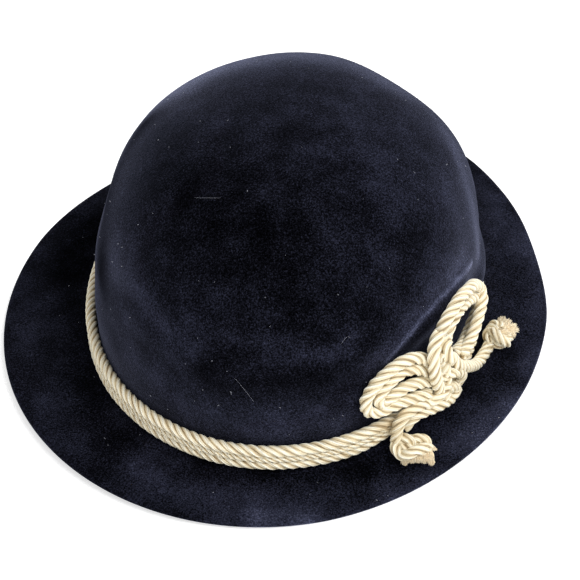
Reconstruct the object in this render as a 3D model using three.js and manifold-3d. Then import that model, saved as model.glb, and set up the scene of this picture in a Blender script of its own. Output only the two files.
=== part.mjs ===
// A velour felt hat with a round crown, a short brim and a twisted hat cord tied in a bow.
//
// Millimetres, +Z up. The hat's front is towards -Y and the wearer's left towards +X. The edge of
// the brim rests on z = 0, and the origin is the middle of the brim's outline on that surface.
// Angles go round the hat in degrees from the wearer's left: 0 is left, 90 the back, -90 the front.

import * as THREE from "three";
import { mergeVertices } from "three/addons/utils/BufferGeometryUtils.js";
import Module from "manifold-3d";

// Driving dimensions
const FELT = { thickness: 2.2, edgeRound: 0.7 };
const BRIM = {
  halfWidth: 120.6,
  halfLength: 133.6,
  // The edge lies on the surface along two stretches and lifts softly between them.
  lift: 2.1,
  liftAngle: 37,
  pressedFlat: 0.8,
  flatStrip: 5,
};
const CROWN = {
  halfWidth: 83,
  halfLength: 98.8,
  centreX: 6.8,
  centreY: -6.7,
  footHeight: 8.8,
  footTilt: 2.6,
  height: 101.2,
  leanX: 6.3,
  leanY: -8.3,
  // The side curve: reach ^ roundness + rise ^ squareness = 1.
  squareness: 3.48,
  roundness: 2.16,
  bulge: 0.9,
  bulgeHeight: 24,
  bulgeTall: 14,
};
const CORD = { diameter: 4.6, fillerDiameter: 2.6, rowSpacing: 7.4, offFelt: 0.45, gap: 0.3 };
const BOW = { cordDiameter: 4.8, wrapDiameter: 5.2, coreHalfWidth: 5.2, coreHalfDepth: 2.6 };

// Relief of the crown, pushed out (+) or in (-) of the plain oval. Each row is one soft form: its
// middle round the hat and above the crown's foot, its half-size each way, and its depth.
const RELIEF = [
  { name: "hollow over the cord", angle: -88, height: 26, spread: 78, tall: 16, depth: -1.1 },
  { name: "soft roll in front", angle: -92, height: 51, spread: 72, tall: 14, depth: 1.3 },
  { name: "dent behind the bow", angle: -34, height: 27, spread: 36, tall: 16, depth: -1.9 },
  { name: "crease over the bow", angle: -38, height: 45, spread: 30, tall: 8, depth: 1.6 },
  { name: "foot drawn in at the left", angle: 0, height: 4, spread: 36, tall: 24, depth: -3 },
  { name: "swell over the cord, left", angle: -10, height: 22.5, spread: 24, tall: 9.5, depth: 2.8 },
  { name: "full left side", angle: 12, height: 56, spread: 28, tall: 28, depth: 1.3 },
  { name: "flat at the left rear", angle: 45, height: 77, spread: 32, tall: 22, depth: -2.7 },
  { name: "corner at the right rear", angle: 138, height: 78, spread: 42, tall: 22, depth: 1.5 },
  { name: "dent over the cord, right", angle: -178, height: 28, spread: 18, tall: 13, depth: -1.3 },
  { name: "foot full at the right front", angle: -154, height: 4, spread: 40, tall: 20, depth: 1 },
  { name: "flat on the right side", angle: 178, height: 55, spread: 26, tall: 24, depth: -2.1 },
];

// The brim's outline against its plain oval: where it reaches further out (+) or less far (-).
const OUTLINE = [
  { name: "short at the right rear", angle: 126, spread: 34, reach: -5.5 },
  { name: "wide at the left rear", angle: 56, spread: 36, reach: 5 },
  { name: "drawn in at the left", angle: 7, spread: 20, reach: -1.8 },
];

// Routes of the bow's cords. Points were picked by eye along each cord in the photograph, and the angle
// and height of each were then worked out for a chosen distance off the felt, so they weren't chosen by
// hand. Each place is round the hat in degrees, above the crown's foot, and off the felt of the crown's
// side. Loops and tails start in the knot.
const LOOP_FRONT_OUTER = [
  { angle: -46.8, above: 30.1, off: 7.5 },
  { angle: -49.4, above: 34.3, off: 5.5 },
  { angle: -52.6, above: 38.2, off: 4 },
  { angle: -56.2, above: 39.2, off: 3 },
  { angle: -59.8, above: 38.3, off: 2.8 },
  { angle: -63.1, above: 35.9, off: 2.8 },
  { angle: -65.8, above: 32.4, off: 2.8 },
  { angle: -67.3, above: 27.8, off: 2.8 },
  { angle: -66.9, above: 23, off: 3.2 },
  { angle: -64.3, above: 21, off: 4 },
  { angle: -60.8, above: 21.6, off: 5 },
  { angle: -57.1, above: 21.4, off: 6 },
  { angle: -53.4, above: 20.3, off: 7 },
  { angle: -49.6, above: 18.5, off: 8 },
];
const LOOP_FRONT_INNER = [
  { angle: -47.8, above: 26.6, off: 7 },
  { angle: -49.8, above: 29.3, off: 6 },
  { angle: -52.7, above: 32.5, off: 4.5 },
  { angle: -55.8, above: 34, off: 3.4 },
  { angle: -58.4, above: 33.3, off: 3 },
  { angle: -60.9, above: 31.4, off: 2.8 },
  { angle: -63, above: 29.3, off: 2.8 },
  { angle: -64, above: 27, off: 3.2 },
  { angle: -62.9, above: 24.4, off: 3.8 },
  { angle: -60.6, above: 25.6, off: 4.3 },
  { angle: -57.7, above: 27, off: 4.8 },
  { angle: -54.3, above: 26.8, off: 5.6 },
  { angle: -50.7, above: 24.8, off: 6.6 },
  { angle: -47.3, above: 22.6, off: 8 },
];
const LOOP_REAR_OUTER = [
  { angle: -46.8, above: 31.6, off: 8 },
  { angle: -46.5, above: 35.9, off: 6 },
  { angle: -44.4, above: 39.6, off: 4 },
  { angle: -42.1, above: 43.4, off: 3 },
  { angle: -37.9, above: 45.9, off: 2.8 },
  { angle: -33.7, above: 46.4, off: 2.8 },
  { angle: -29, above: 44.2, off: 2.8 },
  { angle: -23.6, above: 38, off: 2.9 },
  { angle: -20.6, above: 31.8, off: 4.2 },
  { angle: -21.9, above: 28.7, off: 5.4 },
  { angle: -25.7, above: 26.1, off: 6.2 },
  { angle: -29.3, above: 23.3, off: 6.8 },
  { angle: -33.2, above: 21.4, off: 7.4 },
  { angle: -38, above: 22.6, off: 8.4 },
];
const LOOP_REAR_INNER = [
  { angle: -42.1, above: 26.2, off: 8 },
  { angle: -41.7, above: 29.8, off: 6 },
  { angle: -40.7, above: 34.1, off: 4.4 },
  { angle: -38.4, above: 37.7, off: 3.4 },
  { angle: -35.4, above: 39.8, off: 3 },
  { angle: -30, above: 37.3, off: 2.8 },
  { angle: -24.7, above: 32.2, off: 2.8 },
  { angle: -22, above: 26.9, off: 2.8 },
  { angle: -23, above: 23.1, off: 2.8 },
  { angle: -25.4, above: 20.3, off: 2.8 },
  { angle: -28.7, above: 18.7, off: 3.2 },
  { angle: -33.4, above: 20, off: 4.6 },
  { angle: -39.6, above: 24.8, off: 7 },
];
const KNOT_CORE = [
  { angle: -45.6, above: 35.5, off: 6.8 },
  { angle: -44.8, above: 29, off: 7.4 },
  { angle: -44.5, above: 19, off: 8 },
  { angle: -45.5, above: 7.6, off: 8.2 },
];
const KNOT_WRAPS = [
  [
    { angle: -46.9, above: 37.1, off: 6.6 },
    { angle: -48.6, above: 34.5, off: 8.5 },
    { angle: -48.7, above: 28.5, off: 10 },
    { angle: -47.5, above: 20.5, off: 10 },
    { angle: -45.1, above: 10.5, off: 8.4 },
  ],
  [
    { angle: -54.3, above: 18.5, off: 8.2 },
    { angle: -50.7, above: 17.1, off: 9.4 },
    { angle: -47.1, above: 16.5, off: 10.4 },
    { angle: -44.3, above: 16.7, off: 10 },
    { angle: -42.8, above: 18.9, off: 8.4 },
  ],
  [
    { angle: -52.9, above: 11.5, off: 8.2 },
    { angle: -49.4, above: 9.9, off: 9.2 },
    { angle: -46.2, above: 9.7, off: 10.4 },
    { angle: -43, above: 9.8, off: 10 },
    { angle: -41.6, above: 12.4, off: 8.6 },
  ],
  [
    { angle: -43.3, above: 28.6, off: 8 },
    { angle: -40.6, above: 22.1, off: 9 },
    { angle: -38.4, above: 14.7, off: 8.6 },
    { angle: -39.2, above: 9.6, off: 8.2 },
  ],
];
const TAIL_REAR = [
  { angle: -42, above: 28.6, off: 9.6 },
  { angle: -40.6, above: 23.6, off: 10 },
  { angle: -37, above: 16.3, off: 9 },
  { angle: -32.4, above: 8.2, off: 8.3 },
  { angle: -28.9, above: 3.2, off: 8.4 },
  { angle: -26.5, above: 1.3, off: 8.7 },
  { angle: -24.2, above: 0.4, off: 9.2 },
  { angle: -21.9, above: 0.2, off: 9.9 },
  { angle: -19.8, above: 0.5, off: 10.4 },
];
const TAIL_FRONT = [
  { angle: -50.4, above: 15, off: 9 },
  { angle: -52.6, above: 16.4, off: 8.4 },
  { angle: -54.9, above: 16.8, off: 8 },
  { angle: -57.5, above: 15.7, off: 7.8 },
  { angle: -59.3, above: 12.4, off: 7.8 },
  { angle: -60, above: 7.2, off: 8 },
  { angle: -60.2, above: 3.6, off: 9 },
];
// Each stopper knot lies on the brim. Its axis runs from where the cord enters, and the frayed end
// comes out of it as a tuft that fans from its root to its tip.
const STOPPER_REAR = {
  axis: [
    { angle: -19.2, above: 0.8, off: 10 },
    { angle: -17.4, above: 1.5, off: 11.7 },
    { angle: -16.3, above: 1.4, off: 13.8 },
  ],
  halfWidth: 5,
  halfDepth: 4.2,
  tuftRoot: { angle: -16.1, above: 1.2, off: 14.2 },
  tuftTip: { angle: -14.3, above: 0.2, off: 20.5 },
  tuftRootWidth: 5.2,
  tuftTipWidth: 7.6,
};
const STOPPER_FRONT = {
  axis: [
    { angle: -59.8, above: 1.9, off: 11 },
    { angle: -57.3, above: 1.8, off: 13.3 },
    { angle: -55.2, above: 1.5, off: 15.5 },
  ],
  halfWidth: 4.6,
  halfDepth: 4.1,
  tuftRoot: { angle: -56.6, above: 1, off: 15.7 },
  tuftTip: { angle: -57.7, above: -1.8, off: 20.3 },
  tuftRootWidth: 8.6,
  tuftTipWidth: 11.6,
};
const LOCKS = { count: 6, sides: 5, rootRadius: 1.6, tipRadius: 0.8, raise: 0.8, ragged: 0.15 };

// Mesh resolution
const COLUMNS = 60;
const CROWN_ROWS = 18;
const BRIM_ROWS = 6;
const INNER_STEP = 2;
const INNER_BRIM_SHARES = [0.68, 0.34];
const ROW_CROWDING = 1.6;
const BAND_STEPS = 48;
const CORD_SIDES = 8;
const LOOP_STEPS = 20;
const TAIL_STEPS = 11;
const WRAP_STEPS = 6;
const LUMP_SIDES = 10;
const LUMP_STEPS = 8;
// An oval lump draws in towards its ends. A higher power keeps it full for longer.
const LUMP_END = { drawnIn: 0.88, power: 3 };
// Points closer than this, in mm, are one point of a solid.
const SAME_POINT = 1e-3;
// Edges shorter than this, in mm, are closed up where solids are cut or joined.
const SLIVER = 0.03;

const UP = new THREE.Vector3(0, 0, 1);
const radians = (degrees) => (degrees * Math.PI) / 180;
const mix = (a, b, share) => a + (b - a) * share;

// A soft bump: 1 at its middle, 0 at one half-size and beyond, level at both.
function bump(distance) {
  return Math.abs(distance) < 1 ? Math.cos((distance * Math.PI) / 2) ** 2 : 0;
}

// The turn from one angle to another the short way, in degrees.
function turnBetween(a, b) {
  return ((((a - b + 180) % 360) + 360) % 360) - 180;
}

// Height of the crown's foot, where the side meets the brim. It is a little lower in front.
function footHeight(angle) {
  return CROWN.footHeight + CROWN.footTilt * Math.sin(radians(angle));
}

// How far the underside of the brim's edge stands off the surface.
function edgeLift(angle) {
  const wave = BRIM.lift * (1 + Math.cos(2 * radians(angle - BRIM.liftAngle)));
  return Math.max(0, wave - BRIM.pressedFlat);
}

// Outward push of the crown's relief at a place on its side.
function relief(angle, above) {
  return RELIEF.reduce((sum, form) => {
    const round = bump(turnBetween(angle, form.angle) / form.spread);
    const up = bump((above - form.height) / form.tall);
    return sum + form.depth * round * up;
  }, 0);
}

// A point of the felt's outer surface on the crown. turn goes from 0 at the foot to 90 at the top.
function crownPoint(angle, turn) {
  const a = radians(angle);
  const rise = Math.sin(radians(turn)) ** (2 / CROWN.squareness);
  const reach = Math.max(0, Math.cos(radians(turn))) ** (2 / CROWN.roundness);
  const above = rise * CROWN.height;
  const bulge = CROWN.bulge * bump((above - CROWN.bulgeHeight) / CROWN.bulgeTall);
  const push = bulge + relief(angle, above);
  return new THREE.Vector3(
    CROWN.centreX + CROWN.leanX * rise + (CROWN.halfWidth * reach + push) * Math.cos(a),
    CROWN.centreY + CROWN.leanY * rise + (CROWN.halfLength * reach + push) * Math.sin(a),
    mix(footHeight(angle), CROWN.footHeight + CROWN.height, rise),
  );
}

// A point of the felt's outer surface on the crown's side, at a height above the foot.
function sidePoint(angle, above) {
  const rise = above / CROWN.height;
  const turn = THREE.MathUtils.radToDeg(Math.asin(rise ** (CROWN.squareness / 2)));
  return crownPoint(angle, turn);
}

// A point of the felt's outer surface on the brim. share goes from 0 at the foot to 1 at the edge,
// where the brim runs out level.
function brimPoint(angle, share) {
  const a = radians(angle);
  const fall = 1 - (1 - share) ** 2;
  const extra = OUTLINE.reduce(
    (sum, part) => sum + part.reach * bump(turnBetween(angle, part.angle) / part.spread),
    0,
  );
  const foot = crownPoint(angle, 0);
  return new THREE.Vector3(
    mix(foot.x, (BRIM.halfWidth + extra) * Math.cos(a), share),
    mix(foot.y, (BRIM.halfLength + extra) * Math.sin(a), share),
    mix(foot.z, edgeLift(angle) + FELT.thickness, fall),
  );
}

// The level direction away from the crown at a point of the trim.
function outwardAt(point) {
  return new THREE.Vector3(point.x - CROWN.centreX, point.y - CROWN.centreY, 0).normalize();
}

// A place on the trim: round the hat, above the crown's foot, and off the felt of the side.
function trimPoint({ angle, above, off }) {
  const side = sidePoint(angle, Math.max(above, 0));
  side.z += Math.min(above, 0);
  return side.addScaledVector(outwardAt(side), off);
}

// A closed body from rings of points, all with the same count. A looped body joins its last ring to
// its first, and any other body is closed by a fan at each end.
function loft(rings, looped = false) {
  const count = rings[0].length;
  const points = rings.flat();
  const faces = [];
  const spans = looped ? rings.length : rings.length - 1;
  for (let i = 0; i < spans; i++) {
    const here = i * count;
    const next = ((i + 1) % rings.length) * count;
    for (let k = 0; k < count; k++) {
      const after = (k + 1) % count;
      faces.push(here + k, here + after, next + after, here + k, next + after, next + k);
    }
  }
  if (!looped) {
    const last = (rings.length - 1) * count;
    const middle = (ring) =>
      ring.reduce((sum, p) => sum.add(p), new THREE.Vector3()).divideScalar(count);
    const start = points.push(middle(rings[0])) - 1;
    const end = points.push(middle(rings.at(-1))) - 1;
    for (let k = 0; k < count; k++) {
      const after = (k + 1) % count;
      faces.push(start, after, k, end, last + k, last + after);
    }
  }
  const geometry = new THREE.BufferGeometry().setFromPoints(points);
  geometry.setIndex(faces);
  return geometry;
}

// One ring of a swept body: the section's points laid across and along the hint's direction.
function ringAt(point, tangent, hint, section) {
  const across = new THREE.Vector3().crossVectors(hint, tangent).normalize();
  const deep = new THREE.Vector3().crossVectors(tangent, across);
  return section.map(([a, d]) =>
    point.clone().addScaledVector(across, a).addScaledVector(deep, d),
  );
}

// A round section of the given radius.
function roundSection(radius, sides) {
  return Array.from({ length: sides }, (_, k) => {
    const a = (2 * Math.PI * k) / sides;
    return [radius * Math.cos(a), radius * Math.sin(a)];
  });
}

// A smooth line through places on the trim.
function route(places) {
  return new THREE.CatmullRomCurve3(places.map(trimPoint), false, "centripetal");
}

// A body swept along a line, with sectionAt giving its section at a share of the line's length. It
// runs on past both ends of the line by the length over.
function sweep(line, steps, sectionAt, { over = 0, hintAt = outwardAt } = {}) {
  const rings = [];
  for (let i = 0; i <= steps; i++) {
    const share = i / steps;
    const tangent = line.getTangentAt(share);
    const beyond = i === 0 ? -over : i === steps ? over : 0;
    const point = line.getPointAt(share).addScaledVector(tangent, beyond);
    rings.push(ringAt(point, tangent, hintAt(point), sectionAt(share)));
  }
  return loft(rings);
}

// The felt body: crown and brim in one piece, hollow and open below.
function feltBody() {
  const angles = Array.from({ length: COLUMNS }, (_, k) => (360 * k) / COLUMNS);
  const turnOf = (row) => 90 * (row / CROWN_ROWS) ** ROW_CROWDING;
  const crownRow = (row) => angles.map((angle) => crownPoint(angle, turnOf(row)));
  const brimRow = (share) => angles.map((angle) => brimPoint(angle, share));

  const outer = [];
  for (let row = CROWN_ROWS - 1; row >= 0; row--) outer.push(crownRow(row));
  for (let row = 1; row <= BRIM_ROWS; row++) outer.push(brimRow(row / BRIM_ROWS));

  const edgeMiddle = angles.map((angle) => {
    const edge = brimPoint(angle, 1);
    edge.z -= FELT.thickness / 2;
    return edge.addScaledVector(outwardAt(edge), FELT.edgeRound);
  });
  const edgeBottom = angles.map((angle) => brimPoint(angle, 1).setZ(edgeLift(angle)));
  const stripInside = angles.map((angle) => {
    const width = brimPoint(angle, 1).setZ(0).distanceTo(brimPoint(angle, 0).setZ(0));
    return brimPoint(angle, 1 - BRIM.flatStrip / width).setZ(edgeLift(angle));
  });

  // The inner face lies one thickness inside the outer one.
  const inset = (pointAt, step) =>
    angles.map((angle) => {
      const round = pointAt(angle + 1, 0).sub(pointAt(angle - 1, 0));
      const down = pointAt(angle, step).sub(pointAt(angle, -step));
      const normal = down.cross(round).normalize();
      return pointAt(angle, 0).addScaledVector(normal, -FELT.thickness);
    });
  const brimInset = (share) => inset((angle, step) => brimPoint(angle, share + step), 0.05);
  const crownInset = (row) => inset((angle, step) => crownPoint(angle, turnOf(row) - step), 0.5);
  const footInset = angles.map((angle) => {
    const foot = crownPoint(angle, 0);
    foot.z -= FELT.thickness;
    return foot.addScaledVector(outwardAt(foot), -FELT.thickness);
  });
  const inner = [...INNER_BRIM_SHARES.map(brimInset), footInset];
  for (let row = INNER_STEP; row < CROWN_ROWS; row += INNER_STEP) inner.push(crownInset(row));

  return loft([...outer, edgeMiddle, edgeBottom, stripInside, ...inner].reverse());
}

// One closed row of the hat cord against the crown's side, its middle at that height above the foot.
function bandRow(diameter, above) {
  const section = roundSection(diameter / 2, CORD_SIDES);
  const place = (angle) => trimPoint({ angle, above, off: diameter / 2 + CORD.offFelt });
  const rings = [];
  for (let i = 0; i < BAND_STEPS; i++) {
    const angle = (360 * i) / BAND_STEPS;
    const tangent = place(angle + 1).sub(place(angle - 1)).normalize();
    rings.push(ringAt(place(angle), tangent, UP, section));
  }
  return loft(rings, true);
}

// A length of single cord along a route. grow is added all round.
function cordAlong(places, diameter, steps, grow = 0) {
  const points = places.map(trimPoint);
  const line = route(places);
  points.unshift(points[0].clone().addScaledVector(line.getTangentAt(0), -grow));
  points.push(points.at(-1).clone().addScaledVector(line.getTangentAt(1), grow));
  const section = roundSection(diameter / 2 + grow, CORD_SIDES);
  const shape = new THREE.Shape(section.map(([a, d]) => new THREE.Vector2(a, d)));
  const extrudePath = grow > 0 ? new THREE.CatmullRomCurve3(points, false, "centripetal") : line;
  return new THREE.ExtrudeGeometry(shape, { steps, extrudePath });
}

// An oval lump along a route, rounded at its ends. grow is added all round.
function lumpAlong(places, { halfWidth, halfDepth, hintAt = outwardAt }, grow = 0) {
  const outline = roundSection(1, LUMP_SIDES);
  const sectionAt = (share) => {
    const fullness = Math.sqrt(1 - LUMP_END.drawnIn * Math.abs(2 * share - 1) ** LUMP_END.power);
    return outline.map(([a, d]) => [
      a * (halfWidth * fullness + grow),
      d * (halfDepth * fullness + grow),
    ]);
  };
  return sweep(route(places), LUMP_STEPS, sectionAt, { over: grow, hintAt });
}

const wasm = await Module();
wasm.setup();

// A closed geometry as a manifold-3d solid.
function solidOf(geometry) {
  const bare = geometry.clone();
  bare.deleteAttribute("normal");
  bare.deleteAttribute("uv");
  const merged = mergeVertices(bare, SAME_POINT);
  return new wasm.Manifold(
    new wasm.Mesh({
      numProp: 3,
      vertProperties: merged.attributes.position.array,
      triVerts: new Uint32Array(merged.index.array),
    }),
  );
}

// A solid as a geometry, with the slivers left by its cuts and joints taken out.
function geometryOf(solid) {
  const mesh = solid.simplify(SLIVER).getMesh();
  const geometry = new THREE.BufferGeometry();
  geometry.setAttribute("position", new THREE.BufferAttribute(mesh.vertProperties, 3));
  geometry.setIndex(new THREE.BufferAttribute(mesh.triVerts, 1));
  return geometry;
}

// A loop of the bow: two cords side by side, fused.
function bowLoop(outer, inner) {
  const cords = [outer, inner].map((places) =>
    solidOf(cordAlong(places, BOW.cordDiameter, LOOP_STEPS)),
  );
  return cords[0].add(cords[1]);
}

// The knot of the bow: its wraps of cord over a flat core.
function bowKnot(grow = 0) {
  const size = { halfWidth: BOW.coreHalfWidth, halfDepth: BOW.coreHalfDepth };
  const core = lumpAlong(KNOT_CORE, size, grow);
  const wrapOf = (wrap) => solidOf(cordAlong(wrap, BOW.wrapDiameter, WRAP_STEPS, grow));
  return KNOT_WRAPS.reduce((body, wrap) => body.add(wrapOf(wrap)), solidOf(core));
}

// The main piece of what is left of a body outside the rooms of its neighbours.
function clearOf(body, rooms) {
  const pieces = rooms.reduce((rest, room) => rest.subtract(room), body).decompose();
  return pieces.reduce((largest, piece) => (piece.volume() > largest.volume() ? piece : largest));
}

// The turns of a stopper knot as one lump, laid flat on the brim.
function stopperLump({ axis, halfWidth, halfDepth }, grow = 0) {
  return solidOf(lumpAlong(axis, { halfWidth, halfDepth, hintAt: () => UP }, grow));
}

// A stopper knot with its frayed end: short locks of cut yarn fused to the knot.
function stopperKnot(stopper) {
  const root = trimPoint(stopper.tuftRoot);
  const tip = trimPoint(stopper.tuftTip);
  const along = tip.clone().sub(root).normalize();
  const across = new THREE.Vector3().crossVectors(UP, along).normalize();
  let body = stopperLump(stopper);
  for (let k = 0; k < LOCKS.count; k++) {
    const fan = mix(-0.5, 0.5, k / (LOCKS.count - 1));
    const raise = k % 2 ? LOCKS.raise : -LOCKS.raise / 2;
    const start = root.clone().addScaledVector(across, fan * stopper.tuftRootWidth);
    start.addScaledVector(along, -stopper.halfDepth / 2);
    const end = tip.clone().addScaledVector(across, fan * stopper.tuftTipWidth);
    end.addScaledVector(along, k % 2 ? -LOCKS.ragged * stopper.halfDepth : 0);
    const lock = sweep(
      new THREE.LineCurve3(start, end.addScaledVector(UP, raise)),
      1,
      (share) => roundSection(mix(LOCKS.rootRadius, LOCKS.tipRadius, share), LOCKS.sides),
      { hintAt: () => UP },
    );
    body = body.add(solidOf(lock));
  }
  return body;
}

// Materials
const velour = new THREE.MeshStandardMaterial({ color: 0x14151f, roughness: 0.95, metalness: 0 });
const cordYarn = new THREE.MeshStandardMaterial({ color: 0xe8dcb4, roughness: 0.55, metalness: 0 });
const fillerYarn = new THREE.MeshStandardMaterial({ color: 0xd9caa0, roughness: 0.6, metalness: 0 });
const cutYarn = new THREE.MeshStandardMaterial({ color: 0xdcc493, roughness: 0.75, metalness: 0 });

// Assembly
function addMesh(group, name, geometry, material) {
  geometry.computeVertexNormals();
  const mesh = new THREE.Mesh(geometry, material.clone());
  mesh.name = name;
  group.add(mesh);
}

const hat = new THREE.Group();
addMesh(hat, "felt_body", feltBody(), velour);

const band = new THREE.Group();
const lowest = CORD.diameter / 2 + CORD.gap;
const middle = lowest + CORD.rowSpacing / 2;
addMesh(band, "band_cord_lower", bandRow(CORD.diameter, lowest), cordYarn);
addMesh(band, "band_cord_middle", bandRow(CORD.fillerDiameter, middle), fillerYarn);
addMesh(band, "band_cord_upper", bandRow(CORD.diameter, lowest + CORD.rowSpacing), cordYarn);
hat.add(band);

const bow = new THREE.Group();
const tailSolid = (places, grow) => solidOf(cordAlong(places, BOW.cordDiameter, TAIL_STEPS, grow));
const knotRoom = bowKnot(CORD.gap);
const loopFront = clearOf(bowLoop(LOOP_FRONT_OUTER, LOOP_FRONT_INNER), [
  knotRoom,
  tailSolid(TAIL_FRONT, CORD.gap),
  solidOf(cordAlong(LOOP_REAR_OUTER, BOW.cordDiameter, LOOP_STEPS, CORD.gap)),
]);
const loopRear = clearOf(bowLoop(LOOP_REAR_OUTER, LOOP_REAR_INNER), [
  knotRoom,
  tailSolid(TAIL_REAR, CORD.gap),
]);
const tailRear = clearOf(tailSolid(TAIL_REAR), [knotRoom, stopperLump(STOPPER_REAR, CORD.gap)]);
const tailFront = clearOf(tailSolid(TAIL_FRONT), [knotRoom, stopperLump(STOPPER_FRONT, CORD.gap)]);
addMesh(bow, "bow_loop_front", geometryOf(loopFront), cordYarn);
addMesh(bow, "bow_loop_rear", geometryOf(loopRear), cordYarn);
addMesh(bow, "bow_knot", geometryOf(bowKnot()), cordYarn);
addMesh(bow, "tail_cord_rear", geometryOf(tailRear), cordYarn);
addMesh(bow, "tail_cord_front", geometryOf(tailFront), cordYarn);
addMesh(bow, "end_knot_rear", geometryOf(stopperKnot(STOPPER_REAR)), cutYarn);
addMesh(bow, "end_knot_front", geometryOf(stopperKnot(STOPPER_FRONT)), cutYarn);
hat.add(bow);

export default hat;
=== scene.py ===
"""Looks of a velour felt hat with a tied hat cord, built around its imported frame.

Blender works in metres with +Z up. The front of the hat is towards -Y and the wearer's left towards
+X. Angles go round the hat in degrees from the wearer's left. The hat's own sizes are written in
millimetres, as its maker would, and MM turns them into metres.
"""

import logging
import math
import random
from dataclasses import dataclass, field
from enum import Enum
from typing import NamedTuple

import bpy
import numpy as np
from mathutils import Matrix, Vector, noise


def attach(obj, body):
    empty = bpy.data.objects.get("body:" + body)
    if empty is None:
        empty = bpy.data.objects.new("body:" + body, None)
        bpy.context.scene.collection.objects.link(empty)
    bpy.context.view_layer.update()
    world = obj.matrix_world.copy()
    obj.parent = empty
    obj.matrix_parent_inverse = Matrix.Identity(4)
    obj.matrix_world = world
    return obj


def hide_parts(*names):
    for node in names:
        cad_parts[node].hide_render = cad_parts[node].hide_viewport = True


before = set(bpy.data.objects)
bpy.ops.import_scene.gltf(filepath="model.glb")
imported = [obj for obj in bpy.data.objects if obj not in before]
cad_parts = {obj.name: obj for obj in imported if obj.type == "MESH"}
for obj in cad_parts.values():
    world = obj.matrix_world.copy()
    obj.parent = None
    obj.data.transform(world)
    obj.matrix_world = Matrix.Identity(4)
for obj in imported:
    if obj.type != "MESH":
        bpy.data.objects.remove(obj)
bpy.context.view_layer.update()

log = logging.getLogger("hat")
MM = 0.001
UP = np.array([0.0, 0.0, 1.0])

Piece = bpy.types.Object
Material = bpy.types.Material
Tree = bpy.types.NodeTree
Socket = bpy.types.NodeSocket
Shader = bpy.types.ShaderNodeBsdfPrincipled
Colour = tuple[float, float, float]


class Form(NamedTuple):
    """One soft form of the crown: its middle, its half-size each way and its depth, in mm."""

    angle: float
    height: float
    spread: float
    tall: float
    depth: float


class Reach(NamedTuple):
    """One stretch of the brim that reaches further out, or less far, than its oval, in mm."""

    angle: float
    spread: float
    reach: float


class Place(NamedTuple):
    """A place on the trim: degrees round the hat, mm above the crown's foot and mm off the felt."""

    angle: float
    above: float
    off: float


class Shade(NamedTuple):
    """A place of painted shade, where the cord lies deep, with its reach in mm and how much darker it is
    painted.
    """

    place: Place
    reach: float
    amount: float


class Stroke(NamedTuple):
    """A stretch of the velour painted lighter (+) or darker (-), with its half-width in mm: painted sheen,
    highlight and shade, with some brushed nap.
    """

    line: tuple[Place, ...]
    width: float
    tone: float


def soft_bump(distance: np.ndarray) -> np.ndarray:
    """A soft bump that is 1 at its middle and 0, and level, from one half-size out."""
    return np.where(np.abs(distance) < 1, np.cos(np.clip(distance, -1, 1) * math.pi / 2) ** 2, 0.0)


def turn_between(a: np.ndarray, b: float) -> np.ndarray:
    """The turn from one angle to another the short way, in degrees."""
    return (np.asarray(a, float) - b + 180.0) % 360.0 - 180.0


def unit(vectors: np.ndarray) -> np.ndarray:
    """The vectors at length 1, with the last axis as theirs."""
    return vectors / np.maximum(np.linalg.norm(vectors, axis=-1, keepdims=True), 1e-12)


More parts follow.
